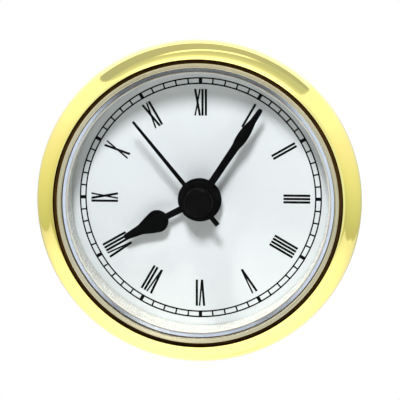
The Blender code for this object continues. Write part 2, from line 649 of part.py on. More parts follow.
def motor_parts():
    """The stepping motor's stator, core, bobbin, winding and two screws."""
    half_bar, bulge, arm = 1.6, 4.0, 3.0
    left, right = COIL_X - 9.7, COIL_X + 9.7
    turn = math.degrees(math.asin(half_bar / bulge))
    outline = [(left, ROTOR[1] - half_bar)]
    outline += arc(ROTOR, (bulge, bulge), 180 + turn, 360 - turn, 8)
    outline += [(right, ROTOR[1] - half_bar), (right, COIL_Z + 1.4)]
    outline += [(right - arm, COIL_Z + 1.4), (right - arm, ROTOR[1] + half_bar)]
    outline += arc(ROTOR, (bulge, bulge), turn, 180 - turn, 8)
    outline += [(left + arm, ROTOR[1] + half_bar), (left + arm, COIL_Z + 1.4), (left, COIL_Z + 1.4)]
    holes = [circle(COIL_SCREW_HOLE, 8, place) for place in COIL_SCREWS]
    layered("stator_plate", "steel", [(*STATOR_FACES, [outline, circle(STATOR_BORE, 24, ROTOR)] + holes)])

    wide, narrow = 1.4, 0.6
    outline = [(left, COIL_Z - wide), (left + arm, COIL_Z - wide), (left + arm, COIL_Z - narrow)]
    outline += [(right - arm, COIL_Z - narrow), (right - arm, COIL_Z - wide), (right, COIL_Z - wide)]
    outline += [(right, COIL_Z + wide), (right - arm, COIL_Z + wide), (right - arm, COIL_Z + narrow)]
    outline += [(left + arm, COIL_Z + narrow), (left + arm, COIL_Z + wide), (left, COIL_Z + wide)]
    layered("coil_core", "steel", [(*CORE_FACES, [outline] + holes)])

    clearance = 0.2
    slot_front, slot_back = CORE_FACES[0] - clearance - COIL_AXIS, CORE_FACES[1] + clearance - COIL_AXIS
    slot = rectangle(slot_front, slot_back, -narrow - clearance, narrow + clearance)
    flange, barrel = circle(BOBBIN_FLANGE, 20), circle(BOBBIN_BARREL, 20)
    ends = (COIL_X - 6.3, COIL_X - 5.7, COIL_X + 5.7, COIL_X + 6.3)
    layers = [(ends[0], ends[1], [flange, slot]), (ends[1], ends[2], [barrel, slot])]
    layers.append((ends[2], ends[3], [circle(BOBBIN_FLANGE, 20), slot]))
    layered("coil_bobbin", "plate_plastic", layers, axis="X", offset=(COIL_AXIS, COIL_Z))
    turns = [circle(WINDING_RADIUS, 20), circle(BOBBIN_BARREL + 0.15, 20)]
    winding = [(ends[1] + clearance, ends[2] - clearance, turns)]
    layered("coil_winding", "copper", winding, axis="X", offset=(COIL_AXIS, COIL_Z))
    for number, place in enumerate(COIL_SCREWS, 1):
        screw(f"coil_screw_{number}", place, COIL_SCREW, CORE_FACES[1] + 0.2, CORE_FACES[1] + 0.9)


def electrics():
    """The circuit board with the oscillator and the chip, the cell and its two contacts."""
    board_front, board_back = 9.0, 9.8
    layered("circuit_board", "board_green", [(board_front, board_back, [rectangle(*BOARD)])])
    can_radius = 1.0
    can = [(-2.0, 4.2, [circle(can_radius, 12)])]
    layered("quartz_can", "steel", can, axis="Z", offset=(-22.0, board_back + 0.2 + can_radius))
    dome = [(0.0, 11.3)] + arc((0.6, 10.9), (1.8, 0.4), 70, 0, 3) + [(2.4, board_back + 0.2)]
    turned("chip_cover", "chip_black", dome + [(0.0, board_back + 0.2)], 20, (-17.2, 2.6))

    cell_front, cell_back = CELL_FACES
    step = [(0.0, cell_front), (4.6, cell_front), (4.9, cell_front + 0.35), (CELL_RADIUS, cell_front + 0.6)]
    step += [(CELL_RADIUS, cell_back - 0.2), (CELL_RADIUS - 0.2, cell_back), (0.0, cell_back)]
    turned("battery_cell", "steel", step, 32, BATTERY)

    foot = strip(BATTERY, 100, 9.0, 10.4, 1.2)
    leaf = strip(BATTERY, 100, -2.0, 10.6, 2.0)
    layered("contact_negative", "brass", [(10.1, 11.0, [foot]), (11.0, 11.2, [leaf])])
    foot = strip(BATTERY, 125, 5.98, 10.8, 2.6)
    leaf = strip(BATTERY, 125, 6.05, 6.3, 2.4)
    layered("contact_positive", "brass", [(10.1, 10.35, [foot]), (10.35, 15.0, [leaf])])


def back_parts():
    """The case back with the cell's well and the knob's recess, the coin-slot cover and the screws."""
    gap_start, gap_stop = 105, 145
    well = arc(BATTERY, (WELL_OUTER, WELL_OUTER), gap_stop, gap_start + 360, 20)
    well += arc(BATTERY, (WELL_BORE, WELL_BORE), gap_start + 360, gap_stop, 20)
    plug = circle(CUP_TAIL_BORE - 0.4, RING_SIDES)
    rim = circle(CUP_TAIL_RADIUS - 0.1, RING_SIDES)
    cell_hole, cover_hole = circle(6.05, PLATE_SIDES, BATTERY), circle(7.15, PLATE_SIDES, BATTERY)
    shaft_hole, knob_recess = circle(0.8, 12, SETTING), circle(4.6, 24, SETTING)
    screw_holes = [circle(1.0, 10, place) for place in BACK_SCREWS]
    screw_recesses = [circle(1.95, 16, place) for place in BACK_SCREWS]
    flange_front = CUP_BACK + 0.2
    recess_floor = KNOB_FRONT - 0.3
    layers = [
        (CELL_FACES[0], BACK_FRONT, [well]),
        (BACK_FRONT, recess_floor, [plug, cell_hole, shaft_hole] + screw_holes),
        (recess_floor, flange_front, [plug, cell_hole, knob_recess] + screw_holes),
        (flange_front, BACK_FACE, [rim, cover_hole, knob_recess] + screw_recesses),
    ]
    layered("case_back", "back_plastic", layers)

    cover = circle(6.85, PLATE_SIDES)
    slot = rectangle(-4.0, 4.0, -0.7, 0.7)
    slot_floor = BACK_FACE - 0.4
    layers = [(slot_floor - 0.4, slot_floor, [cover]), (slot_floor, BACK_FACE - 0.1, [cover, slot])]
    layered("battery_cover", "back_plastic", layers, BATTERY)
    for number, place in enumerate(BACK_SCREWS, 1):
        screw(f"back_screw_{number}", place, BACK_SCREW, flange_front + 0.2, BACK_FACE - 0.1)


def build():
    """Make every piece."""
    clear_scene()
    bezel_and_crystal()
    dial_and_hands()
    case_cup_and_band()
    plates()
    motion_work()
    running_train()
    motor_parts()
    electrics()
    back_parts()


build()
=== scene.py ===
import json
import math

import bmesh
import bpy
from mathutils import Matrix, Vector


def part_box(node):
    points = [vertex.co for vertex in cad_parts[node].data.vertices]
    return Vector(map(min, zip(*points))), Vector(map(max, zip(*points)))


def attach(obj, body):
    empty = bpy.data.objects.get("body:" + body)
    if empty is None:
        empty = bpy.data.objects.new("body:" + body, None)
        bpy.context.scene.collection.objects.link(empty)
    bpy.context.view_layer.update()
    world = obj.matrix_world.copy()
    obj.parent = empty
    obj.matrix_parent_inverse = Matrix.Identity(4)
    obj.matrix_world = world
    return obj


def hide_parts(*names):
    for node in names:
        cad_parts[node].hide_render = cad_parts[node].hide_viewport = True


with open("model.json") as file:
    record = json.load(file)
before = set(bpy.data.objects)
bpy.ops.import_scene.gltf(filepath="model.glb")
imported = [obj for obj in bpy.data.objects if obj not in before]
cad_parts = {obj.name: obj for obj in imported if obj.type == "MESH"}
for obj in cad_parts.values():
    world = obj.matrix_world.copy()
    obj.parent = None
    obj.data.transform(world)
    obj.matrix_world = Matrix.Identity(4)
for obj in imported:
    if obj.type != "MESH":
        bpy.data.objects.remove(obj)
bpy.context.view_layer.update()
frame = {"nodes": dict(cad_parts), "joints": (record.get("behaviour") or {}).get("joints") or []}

MM = 0.001
RING = 256              # sides of the large turned rings
FINE = 96               # sides of the small round parts
NOISE_ROUGHNESS = 0.55


# ---------------------------------------------------------------- CAD places, in millimetres

def low(node):
    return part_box(node)[0] / MM


def high(node):
    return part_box(node)[1] / MM


def middle(node):
    """The node's centre in the dial plane, as (x, z)."""
    a, b = low(node), high(node)
    return ((a.x + b.x) / 2, (a.z + b.z) / 2)


def radius(node):
    return (high(node).x - low(node).x) / 2


def front(node):
    return low(node).y


def back(node):
    return high(node).y


def joint_place(name):
    """Where a joint's axis stands, as (x, z)."""
    for joint in frame["joints"]:
        if joint["name"] == name:
            return (joint["pos_m"][0] / MM, joint["pos_m"][2] / MM)
    raise KeyError(name)


def pointing(node):
    """The clockwise angle from twelve at which a hand points, from its farthest vertex."""
    tip = max(frame["nodes"][node].data.vertices, key=lambda v: math.hypot(v.co.x, v.co.z)).co
    return math.atan2(tip.x, tip.z)


def outline_at(node, y, centre, least):
    """The node's outline at a depth, as (x, z), from its corners farther than least from centre."""
    thing = frame["nodes"][node]
    corners = {}
    for vertex in thing.data.vertices:
        place = thing.matrix_world @ vertex.co / MM
        x, z = place.x - centre[0], place.z - centre[1]
        if abs(place.y - y) < 0.02 and math.hypot(x, z) > least + 0.05:
            corners[round(math.atan2(x, z), 4)] = (place.x, place.z)
    return [corners[angle] for angle in sorted(corners)]


# ---------------------------------------------------------------- mesh helpers

def add_piece(name, mesh, finish, body, nodes):
    """Put a mesh in the scene on its body, standing for its CAD nodes."""
    piece = bpy.data.objects.new(name, mesh)
    bpy.context.scene.collection.objects.link(piece)
    mesh.materials.append(finish)
    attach(piece, body)
    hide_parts(*nodes)
    return piece


def mesh_from(bm, name, smooth_angle=34):
    """A mesh in metres with outward normals and sharp edges over the given angle."""
    bmesh.ops.remove_doubles(bm, verts=bm.verts, dist=1e-5)
    bmesh.ops.recalc_face_normals(bm, faces=bm.faces)
    bmesh.ops.scale(bm, vec=(MM, MM, MM), verts=bm.verts)
    mesh = bpy.data.meshes.new(name)
    bm.to_mesh(mesh)
    bm.free()
    mesh.shade_smooth()
    mesh.set_sharp_from_angle(angle=math.radians(smooth_angle))
    return mesh


def ellipse_arc(centre, radii, start, stop, count):
    """Points of an elliptical arc in (radius, y), angles in degrees."""
    angles = [math.radians(start + (stop - start) * i / count) for i in range(count + 1)]
    return [(centre[0] + radii[0] * math.cos(a), centre[1] + radii[1] * math.sin(a)) for a in angles]


def eased(loop, size, steps=4):
    """A closed loop with each corner rounded off by up to size."""
    made = []
    for i, point in enumerate(loop):
        here = Vector(point)
        before = Vector(loop[i - 1]) - here
        after = Vector(loop[(i + 1) % len(loop)]) - here
        if before.length < 1e-6 or after.length < 1e-6:
            continue
        if before.angle(after) > math.radians(168):
            made.append(tuple(here))
            continue
        reach = min(size, before.length * 0.45, after.length * 0.45)
        a = here + before.normalized() * reach
        b = here + after.normalized() * reach
        for k in range(steps + 1):
            t = k / steps
            made.append(tuple(a * (1 - t) ** 2 + here * 2 * t * (1 - t) + b * t ** 2))
    return made


def spin(bm, loop, count, centre=(0.0, 0.0), radial=None):
    """Turn a closed loop of (radius, y) about the axis through centre; radial moves a point in or out."""
    rings = []
    for r, y in loop:
        if r < 1e-6:
            rings.append([bm.verts.new((centre[0], y, centre[1]))])
            continue
        ring = []
        for i in range(count):
            angle = 2 * math.pi * i / count
            reach = r + (radial(r, angle) if radial else 0.0)
            x = centre[0] + reach * math.sin(angle)
            ring.append(bm.verts.new((x, y, centre[1] + reach * math.cos(angle))))
        rings.append(ring)
    for a, b in zip(rings, rings[1:] + rings[:1]):
        if len(a) == 1 and len(b) == 1:
            continue
        for i in range(count):
            j = (i + 1) % count
            if len(a) == 1:
                bm.faces.new((a[0], b[i], b[j]))
            elif len(b) == 1:
                bm.faces.new((a[i], b[0], a[j]))
            else:
                bm.faces.new((a[i], b[i], b[j], a[j]))


def lathe(name, loop, finish, body, nodes, count=RING, radial=None):
    """A turned piece round the clock's own axis."""
    bm = bmesh.new()
    spin(bm, loop, count, radial=radial)
    return add_piece(name, mesh_from(bm, name), finish, body, nodes)


def turned_mesh(name, turns, centre=(0.0, 0.0)):
    """A mesh in millimetres of parts turned about centre, each as (loop, count, radial)."""
    bm = bmesh.new()
    for loop, count, radial in turns:
        spin(bm, loop, count, centre, radial)
    bmesh.ops.recalc_face_normals(bm, faces=bm.faces)
    return plain_mesh(name, bm)


def plain_mesh(name, bm):
    """A mesh just as the bmesh has it."""
    mesh = bpy.data.meshes.new(name)
    bm.to_mesh(mesh)
    bm.free()
    return mesh


def plate_mesh(name, loops, y_front, y_back, edge=0.04, steps=2):
    """A flat piece with rounded edges, from y_front to y_back: outline and holes are loops of (x, z)."""
    curve = bpy.data.curves.new(name, "CURVE")
    curve.dimensions = "2D"
    curve.fill_mode = "BOTH"
    curve.extrude = max((y_back - y_front) / 2 - edge, 0.0)
    curve.bevel_depth = edge
    curve.bevel_resolution = steps
    curve.offset = -edge
    for loop in loops:
        spline = curve.splines.new("POLY")
        spline.points.add(len(loop) - 1)
        for point, (x, z) in zip(spline.points, loop):
            point.co = (x, z, 0.0, 1.0)
        spline.use_cyclic_u = True
    holder = bpy.data.objects.new(name, curve)
    bpy.context.scene.collection.objects.link(holder)
    bpy.context.view_layer.update()
    flat = bpy.data.meshes.new_from_object(holder.evaluated_get(bpy.context.evaluated_depsgraph_get()))
    bpy.data.objects.remove(holder)
    bpy.data.curves.remove(curve)
    stand = Matrix.Translation((0.0, (y_front + y_back) / 2, 0.0)) @ Matrix.Rotation(math.pi / 2, 4, "X")
    flat.transform(stand)
    return flat


def join_meshes(name, meshes, smooth_angle=34):
    """One mesh, in metres, from several in millimetres."""
    bm = bmesh.new()
    for mesh in meshes:
        bm.from_mesh(mesh)
        bpy.data.meshes.remove(mesh)
    return mesh_from(bm, name, smooth_angle)


def circle(r, count=FINE, centre=(0.0, 0.0)):
    """A round outline as points of (x, z)."""
    angles = [2 * math.pi * i / count for i in range(count)]
    return [(centre[0] + r * math.sin(a), centre[1] + r * math.cos(a)) for a in angles]


def turned_by(loop, clockwise, centre=(0.0, 0.0)):
    """Points (across, along) turned so that along points clockwise from twelve."""
    c, s = math.cos(clockwise), math.sin(clockwise)
    return [(centre[0] + x * c + z * s, centre[1] - x * s + z * c) for x, z in loop]


def curve_through(points, steps):
    """A Catmull-Rom curve through the points."""
    p = [points[0]] + list(points) + [points[-1]]
    made = []
    for i in range(1, len(p) - 2):
        for k in range(steps):
            t = k / steps
            point = []
            for a, b, c, d in zip(p[i - 1], p[i], p[i + 1], p[i + 2]):
                square = 2 * a - 5 * b + 4 * c - d
                cube = 3 * b - a - 3 * c + d
                point.append(0.5 * (2 * b + (c - a) * t + square * t * t + cube * t ** 3))
            made.append(tuple(point))
    return made + [tuple(points[-1])]


# ---------------------------------------------------------------- materials

class Nodes:
    """A node tree with short calls for what the materials here use."""

    def __init__(self, tree):
        self.tree = tree
        tree.nodes.clear()

    def add(self, kind, **settings):
        node = self.tree.nodes.new(kind)
        for key, value in settings.items():
            setattr(node, key, value)
        return node

    def put(self, socket, value):
        if isinstance(value, bpy.types.NodeSocket):
            self.tree.links.new(value, socket)
        elif value is not None:
            socket.default_value = value

    def math(self, operation, a, b=None, c=None):
        node = self.add("ShaderNodeMath", operation=operation)
        for socket, value in zip(node.inputs, (a, b, c)):
            self.put(socket, value)
        return node.outputs[0]

    def step(self, value, start, stop):
        """0 before start, 1 after stop, smooth in between."""
        node = self.add("ShaderNodeMapRange", interpolation_type="SMOOTHSTEP")
        self.put(node.inputs["Value"], value)
        node.inputs["From Min"].default_value = start
        node.inputs["From Max"].default_value = stop
        return node.outputs[0]

    def mix(self, factor, a, b):
        node = self.add("ShaderNodeMix", data_type="RGBA")
        self.put(node.inputs[0], factor)
        self.put(node.inputs[6], a)
        self.put(node.inputs[7], b)
        return node.outputs[2]

    def ramp(self, value, *stops):
        """A grey or coloured ramp: stops of (place, colour)."""
        node = self.add("ShaderNodeValToRGB")
        self.put(node.inputs[0], value)
        while len(node.color_ramp.elements) < len(stops):
            node.color_ramp.elements.new(1.0)
        for element, (place, colour) in zip(node.color_ramp.elements, stops):
            element.position = place
            element.color = colour if len(colour) == 4 else (*colour, 1.0)
        return node.outputs[0]

    def place(self, stretch=(1.0, 1.0, 1.0)):
        coords = self.add("ShaderNodeTexCoord")
        mapping = self.add("ShaderNodeMapping")
        self.put(mapping.inputs["Vector"], coords.outputs["Object"])
        mapping.inputs["Scale"].default_value = stretch
        return mapping.outputs[0]

    def noise(self, per_metre, detail=3.0, stretch=(1.0, 1.0, 1.0)):
        node = self.add("ShaderNodeTexNoise")
        self.put(node.inputs["Vector"], self.place(stretch))
        node.inputs["Scale"].default_value = per_metre
        node.inputs["Detail"].default_value = detail
        node.inputs["Roughness"].default_value = NOISE_ROUGHNESS
        return node.outputs[0]

    def cells(self, per_metre):
        node = self.add("ShaderNodeTexVoronoi", feature="F1")
        self.put(node.inputs["Vector"], self.place())
        node.inputs["Scale"].default_value = per_metre
        return node.outputs["Distance"]

    def waves(self, per_metre, direction, distortion=0.0):
        node = self.add("ShaderNodeTexWave", bands_direction=direction)
        self.put(node.inputs["Vector"], self.place())
        node.inputs["Scale"].default_value = per_metre
        node.inputs["Distortion"].default_value = distortion
        return node.outputs["Fac"]

    def bump(self, height, strength, distance, after=None):
        node = self.add("ShaderNodeBump")
        node.inputs["Strength"].default_value = strength
        node.inputs["Distance"].default_value = distance
        self.put(node.inputs["Height"], height)
        self.put(node.inputs["Normal"], after)
        return node.outputs[0]


def span(nodes, value, least, most):
    """A value from 0 to 1 mapped between two limits."""
    node = nodes.add("ShaderNodeMapRange")
    nodes.put(node.inputs["Value"], value)
    node.inputs["To Min"].default_value = least
    node.inputs["To Max"].default_value = most
    return node.outputs[0]


def principled(name, colour, roughness, metallic=0.0, normal=None, **plain):
    """A material whose colour, roughness and normal may be functions of its node tree."""
    made = bpy.data.materials.new(name)
    made.use_nodes = True
    nodes = Nodes(made.node_tree)
    output = nodes.add("ShaderNodeOutputMaterial")
    shader = nodes.add("ShaderNodeBsdfPrincipled")
    nodes.put(output.inputs["Surface"], shader.outputs[0])
    nodes.put(shader.inputs["Base Color"], colour(nodes))
    nodes.put(shader.inputs["Roughness"], roughness(nodes))
    shader.inputs["Metallic"].default_value = metallic
    if normal:
        nodes.put(shader.inputs["Normal"], normal(nodes))
    for key, value in plain.items():
        shader.inputs[key.replace("_", " ")].default_value = value
    return made


def two_tones(a, b, per_metre, detail=3.0, stretch=(1.0, 1.0, 1.0)):
    """Colour that wanders between two tones."""
    def colour(nodes):
        return nodes.ramp(nodes.noise(per_metre, detail, stretch), (0.35, a), (0.65, b))
    return colour


def wandering(least, most, per_metre, detail=2.0):
    """A number that wanders between two limits."""
    def value(nodes):
        return span(nodes, nodes.noise(per_metre, detail), least, most)
    return value


def grain(per_metre, strength, distance, detail=4.0):
    """A fine uneven surface."""
    def normal(nodes):
        return nodes.bump(nodes.noise(per_metre, detail), strength, distance)
    return normal


def gold_colour(nodes):
    """Lacquered brass plate: warm yellow, a little deeper in soft clouds and in fine specks."""
    clouds = nodes.ramp(nodes.noise(45, 3.0), (0.3, (0.93, 0.82, 0.27)), (0.7, (0.96, 0.87, 0.31)))
    specks = nodes.step(nodes.noise(2600, 1.0), 0.70, 0.78)
    return nodes.mix(nodes.math("MULTIPLY", specks, 0.25), clouds, (0.80, 0.66, 0.20, 1.0))


def gold_roughness(nodes):
    """Polished, with faint turning marks and smudges."""
    return span(nodes, nodes.noise(160, 4.0), 0.035, 0.10)


def gold_normal(nodes):
    return nodes.bump(nodes.noise(900, 2.0), 0.02, 0.00002)


GOLD = principled("gold_plate", gold_colour, gold_roughness, 1.0, gold_normal)
PALE_GOLD = principled(
    "pale_gold",
    two_tones((0.56, 0.51, 0.34), (0.62, 0.57, 0.39), 90),
    wandering(0.12, 0.20, 500, 3.0),
    1.0,
    grain(1200, 0.05, 0.00002),
)
SEAL = principled(
    "dark_seal",
    two_tones((0.028, 0.014, 0.004), (0.045, 0.022, 0.006), 300),
    wandering(0.45, 0.60, 900),
    normal=grain(1800, 0.15, 0.00004),
    Specular_IOR_Level=0.04,
)
DIAL = principled(
    "dial_paint",
    two_tones((0.655, 0.700, 0.725), (0.685, 0.725, 0.745), 70, 4.0),
    wandering(0.46, 0.58, 1500),
    normal=grain(3200, 0.10, 0.00002),
    Specular_IOR_Level=0.3,
)
INK = principled(
    "dial_ink",
    two_tones((0.0015, 0.002, 0.002), (0.004, 0.004, 0.004), 1800),
    wandering(0.45, 0.60, 1200),
    Specular_IOR_Level=0.05,
)
HAND = principled(
    "hand_lacquer",
    two_tones((0.0008, 0.0008, 0.001), (0.0020, 0.0020, 0.0022), 700),
    wandering(0.26, 0.40, 1500),
    normal=grain(2600, 0.10, 0.00003),
    Specular_IOR_Level=0.02,
)
CAP = principled(
    "cap_plastic",
    two_tones((0.0008, 0.0008, 0.0008), (0.0022, 0.0022, 0.0022), 900),
    wandering(0.30, 0.42, 1400),
    normal=grain(3500, 0.20, 0.00004),
    Specular_IOR_Level=0.025,
)
FLUTED = principled(
    "fluted_plastic",
    two_tones((0.50, 0.505, 0.465), (0.56, 0.565, 0.52), 200),
    wandering(0.20, 0.32, 700),
    normal=grain(1500, 0.10, 0.00003),
    Subsurface_Weight=0.15,
    Subsurface_Scale=0.0012,
)
FACET = principled(
    "bright_facet",
    two_tones((0.70, 0.74, 0.79), (0.76, 0.79, 0.83), 240),
    wandering(0.06, 0.12, 600),
    1.0,
    grain(1500, 0.08, 0.00003),
)
CUP = principled(
    "cup_metal",
    two_tones((0.52, 0.41, 0.20), (0.62, 0.50, 0.26), 120, 4.0, (1.0, 6.0, 1.0)),
    wandering(0.26, 0.42, 400, 4.0),
    1.0,
    lambda nodes: nodes.bump(nodes.noise(500, 3.0, (1.0, 14.0, 1.0)), 0.18, 0.00005),
)
RUBBER = principled(
    "band_rubber",
    two_tones((0.022, 0.022, 0.023), (0.042, 0.041, 0.040), 350, 4.0),
    wandering(0.62, 0.80, 800, 3.0),
    normal=grain(2600, 0.35, 0.00008),
    Specular_IOR_Level=0.35,
)


def moulded_normal(nodes):
    """Spark-eroded mould texture over a faint sink."""
    fine = nodes.bump(nodes.cells(2600), 0.35, 0.00007)
    return nodes.bump(nodes.noise(60, 2.0), 0.10, 0.0004, fine)


BACK = principled(
    "back_plastic",
    two_tones((0.020, 0.020, 0.022), (0.034, 0.034, 0.036), 500, 4.0),
    wandering(0.42, 0.58, 900, 3.0),
    normal=moulded_normal,
)
KNOB = principled(
    "knob_plastic",
    two_tones((0.018, 0.018, 0.019), (0.030, 0.030, 0.032), 700),
    wandering(0.32, 0.46, 900),
    normal=grain(2400, 0.20, 0.00005),
)
COVER = principled(
    "cover_plastic",
    two_tones((0.024, 0.024, 0.026), (0.040, 0.040, 0.042), 600),
    wandering(0.36, 0.50, 900),
    normal=moulded_normal,
)
SCREW = principled(
    "screw_steel",
    two_tones((0.50, 0.50, 0.50), (0.62, 0.61, 0.59), 900),
    wandering(0.22, 0.38, 1500),
    1.0,
    lambda nodes: nodes.bump(nodes.noise(2200, 3.0), 0.15, 0.00004),
)
BRASS = principled(
    "machined_brass",
    two_tones((0.62, 0.43, 0.16), (0.74, 0.55, 0.24), 500, 4.0),
    wandering(0.22, 0.36, 1500),
    1.0,
    grain(2600, 0.15, 0.00003),
)
MAGNET = principled(
    "sintered_magnet",
    two_tones((0.09, 0.09, 0.095), (0.15, 0.15, 0.155), 2600),
    wandering(0.40, 0.60, 2600),
    1.0,
    grain(4500, 0.4, 0.00004),
)
LAMINATED = principled(
    "stator_steel",
    two_tones((0.42, 0.42, 0.43), (0.52, 0.52, 0.52), 800),
    wandering(0.30, 0.44, 1200),
    1.0,
    lambda nodes: nodes.bump(nodes.noise(1500, 2.0, (1.0, 9.0, 1.0)), 0.25, 0.00004),
)
WINDING = principled(
    "copper_winding",
    # Copper colour, darkened along the same waves as the bump so the grooves between the wire's turns come
    # out dark: that darkening is painted shade.
    lambda nodes: nodes.ramp(
        nodes.waves(2600, "X", 0.5), (0.2, (0.24, 0.06, 0.025)), (0.8, (0.62, 0.24, 0.10))
    ),
    wandering(0.24, 0.36, 900),
    0.9,
    lambda nodes: nodes.bump(nodes.waves(2600, "X", 0.5), 0.5, 0.00008),
)
MILKY = principled(
    "milky_plastic",
    two_tones((0.66, 0.64, 0.57), (0.74, 0.72, 0.66), 260),
    wandering(0.36, 0.50, 900),
    normal=grain(1500, 0.15, 0.00005),
    Subsurface_Weight=0.1,
    Subsurface_Scale=0.0008,
)
WHEEL = principled(
    "wheel_plastic",
    two_tones((0.78, 0.75, 0.66), (0.86, 0.84, 0.76), 600),
    wandering(0.30, 0.44, 1200),
    normal=grain(2400, 0.12, 0.00003),
    Subsurface_Weight=0.1,
    Subsurface_Scale=0.0006,
)
BOARD = principled(
    "board_laminate",
    lambda nodes: nodes.mix(
        nodes.math("MULTIPLY", nodes.waves(1300, "X"), nodes.waves(1300, "Z")),
        (0.020, 0.115, 0.050, 1.0),
        (0.035, 0.165, 0.075, 1.0),
    ),
    wandering(0.32, 0.46, 900),
    normal=lambda nodes: nodes.bump(nodes.waves(1300, "Z"), 0.12, 0.00004),
)
EPOXY = principled(
    "chip_epoxy",
    two_tones((0.010, 0.010, 0.010), (0.020, 0.020, 0.020), 900),
    wandering(0.24, 0.40, 700),
    normal=grain(900, 0.2, 0.00008),
)
CELL = principled(
    "cell_steel",
    two_tones((0.56, 0.56, 0.55), (0.66, 0.66, 0.64), 200, 3.0, (1.0, 5.0, 1.0)),
    wandering(0.14, 0.26, 500),
    1.0,
    lambda nodes: nodes.bump(nodes.noise(400, 3.0, (1.0, 12.0, 1.0)), 0.10, 0.00003),
)


def lens_material():
    """Clear acrylic that lets the light through to the dial."""
    made = bpy.data.materials.new("clear_acrylic")
    made.use_nodes = True
    nodes = Nodes(made.node_tree)
    output = nodes.add("ShaderNodeOutputMaterial")
    glass = nodes.add("ShaderNodeBsdfPrincipled")
    glass.inputs["Transmission Weight"].default_value = 1.0
    glass.inputs["IOR"].default_value = 1.49
    glass.inputs["Specular Tint"].default_value = (0.25, 0.25, 0.25, 1.0)
    tint = nodes.ramp(nodes.noise(40), (0.3, (0.985, 0.995, 1.0)), (0.7, (1.0, 1.0, 1.0)))
    nodes.put(glass.inputs["Base Color"], tint)
    nodes.put(glass.inputs["Roughness"], span(nodes, nodes.noise(500), 0.0, 0.012))
    clear = nodes.add("ShaderNodeBsdfTransparent")
    path = nodes.add("ShaderNodeLightPath")
    mix = nodes.add("ShaderNodeMixShader")
    passing = nodes.math("MAXIMUM", path.outputs["Is Shadow Ray"], path.outputs["Is Diffuse Ray"])
    nodes.put(mix.inputs[0], passing)
    nodes.put(mix.inputs[1], glass.outputs[0])
    nodes.put(mix.inputs[2], clear.outputs[0])
    nodes.put(output.inputs["Surface"], mix.outputs[0])
    return made


LENS = lens_material()


# ---------------------------------------------------------------- front: bezel, rings and crystal

def build_rings():
    """The gold bezel, the dark seal, the beaded snap ring, the crystal and the fluted wall."""
    rim, crest, rear = radius("bezel_ring"), front("bezel_ring"), back("bezel_ring")
    shoulder, wall, rear_edge = -0.9, 0.7, 0.12
    bore, leg = 31.1, -1.2
    centre = bore - 0.5
    crest_share = 0.995
    reach, rise = rim - centre, (shoulder - crest) / crest_share
    loop = ellipse_arc((centre, shoulder), (reach, -rise), 0, 83, 32)
    loop += [(bore + 0.02, crest + 0.02), (bore, crest + 0.06), (bore, leg), (bore + wall, leg)]
    loop += ellipse_arc((centre, shoulder), (reach - wall, wall - rise), 71, 0, 14)
    loop += [(rim - wall, rear), (rim - rear_edge, rear), (rim, -rear_edge)]
    lathe("bezel", loop, GOLD, "root", ["bezel_ring"], 384)

    outer, inner = radius("crystal_gasket"), 30.05
    seal_front, seal_back = front("crystal_gasket"), back("crystal_gasket")
    crown = 0.35
    seal = [(inner, seal_back), (inner, seal_front + 0.15)]
    between, half = (inner + outer) / 2, (outer - inner) / 2
    seal += ellipse_arc((between, seal_front + crown), (half, -crown), 180, 0, 12)
    seal += [(outer, seal_back)]
    lathe("seal_ring", seal, SEAL, "root", ["crystal_gasket"])

    outer, inner = radius("retaining_ring"), 29.3
    ring_front, ring_back = front("retaining_ring"), back("retaining_ring")
    bead = 0.12
    groove_end = ring_front + 0.125
    ring = [(outer, ring_back)]
    ring += ellipse_arc((outer - bead, ring_front + bead), (bead, -bead), 0, 150, 10)
    ring += [(inner + 2.1 * bead, groove_end)]
    ring += ellipse_arc((inner + bead, ring_front + bead), (bead, -bead), 30, 180, 10)
    ring += [(inner, ring_back)]
    lathe("snap_ring", ring, PALE_GOLD, "root", ["retaining_ring"])

    lens_front, lens_back = front("crystal_lens"), back("crystal_lens")
    edge = radius("crystal_lens")
    chamfer, back_chamfer = 0.25, 0.1
    lens = [(0.0, lens_front), (edge - chamfer, lens_front), (edge, lens_front + chamfer)]
    lens += [(edge, lens_back - back_chamfer), (edge - back_chamfer, lens_back), (0.0, lens_back)]
    lathe("crystal", lens, LENS, "root", ["crystal_lens"], 192)

    outer, lip, inner = radius("reflector_ring"), 28.5, 27.95
    wall_front, wall_back = front("reflector_ring"), back("reflector_ring")
    flutes, flute_depth = 300, 0.09

    def flute(r, angle):
        """The inner wall is pressed into fine upright flutes."""
        if r > inner + 0.2:
            return 0.0
        return flute_depth * abs(math.sin(flutes * angle / 2))

    facet = [(outer - 0.02, wall_front + 0.5), (outer, wall_front + 0.1), (outer - 0.1, wall_front)]
    facet += [(lip, wall_front + 0.075), (lip, wall_front + 0.6)]
    body = [(outer, wall_back), (outer, wall_front + 0.55)]
    body += [(lip + 0.02, wall_front + 0.65), (lip, wall_front + 0.3)]
    body += ellipse_arc(((lip + inner) / 2, wall_front + 0.3), ((lip - inner) / 2, -0.28), 0, 180, 8)
    body += [(inner, wall_front + 1.2), (inner, wall_back - 1.0), (inner, wall_back)]
    sides = 4 * flutes
    lathe("fluted_wall", body, FLUTED, "root", ["reflector_ring"], sides, flute)
    lathe("wall_facet", facet, FACET, "root", ["reflector_ring"])


# ---------------------------------------------------------------- dial and print

TRACK_OUTER, TRACK_INNER = 26.2, 25.0
TRACK_LINE = 0.31
HOUR_MARK, MINUTE_MARK = 0.74, 0.33
NUMERALS = ["XII", "I", "II", "III", "IIII", "V", "VI", "VII", "VIII", "IX", "X", "XI"]
NUMERAL_FOOT, NUMERAL_HEAD = 18.0, 23.8
THICK, THIN = 0.50, 0.35
STROKE_PITCH = 0.73
AFTER_LETTER, BEFORE_V, BEFORE_X = 0.55, 0.75, 0.60
LETTER_WIDTH = 1.05


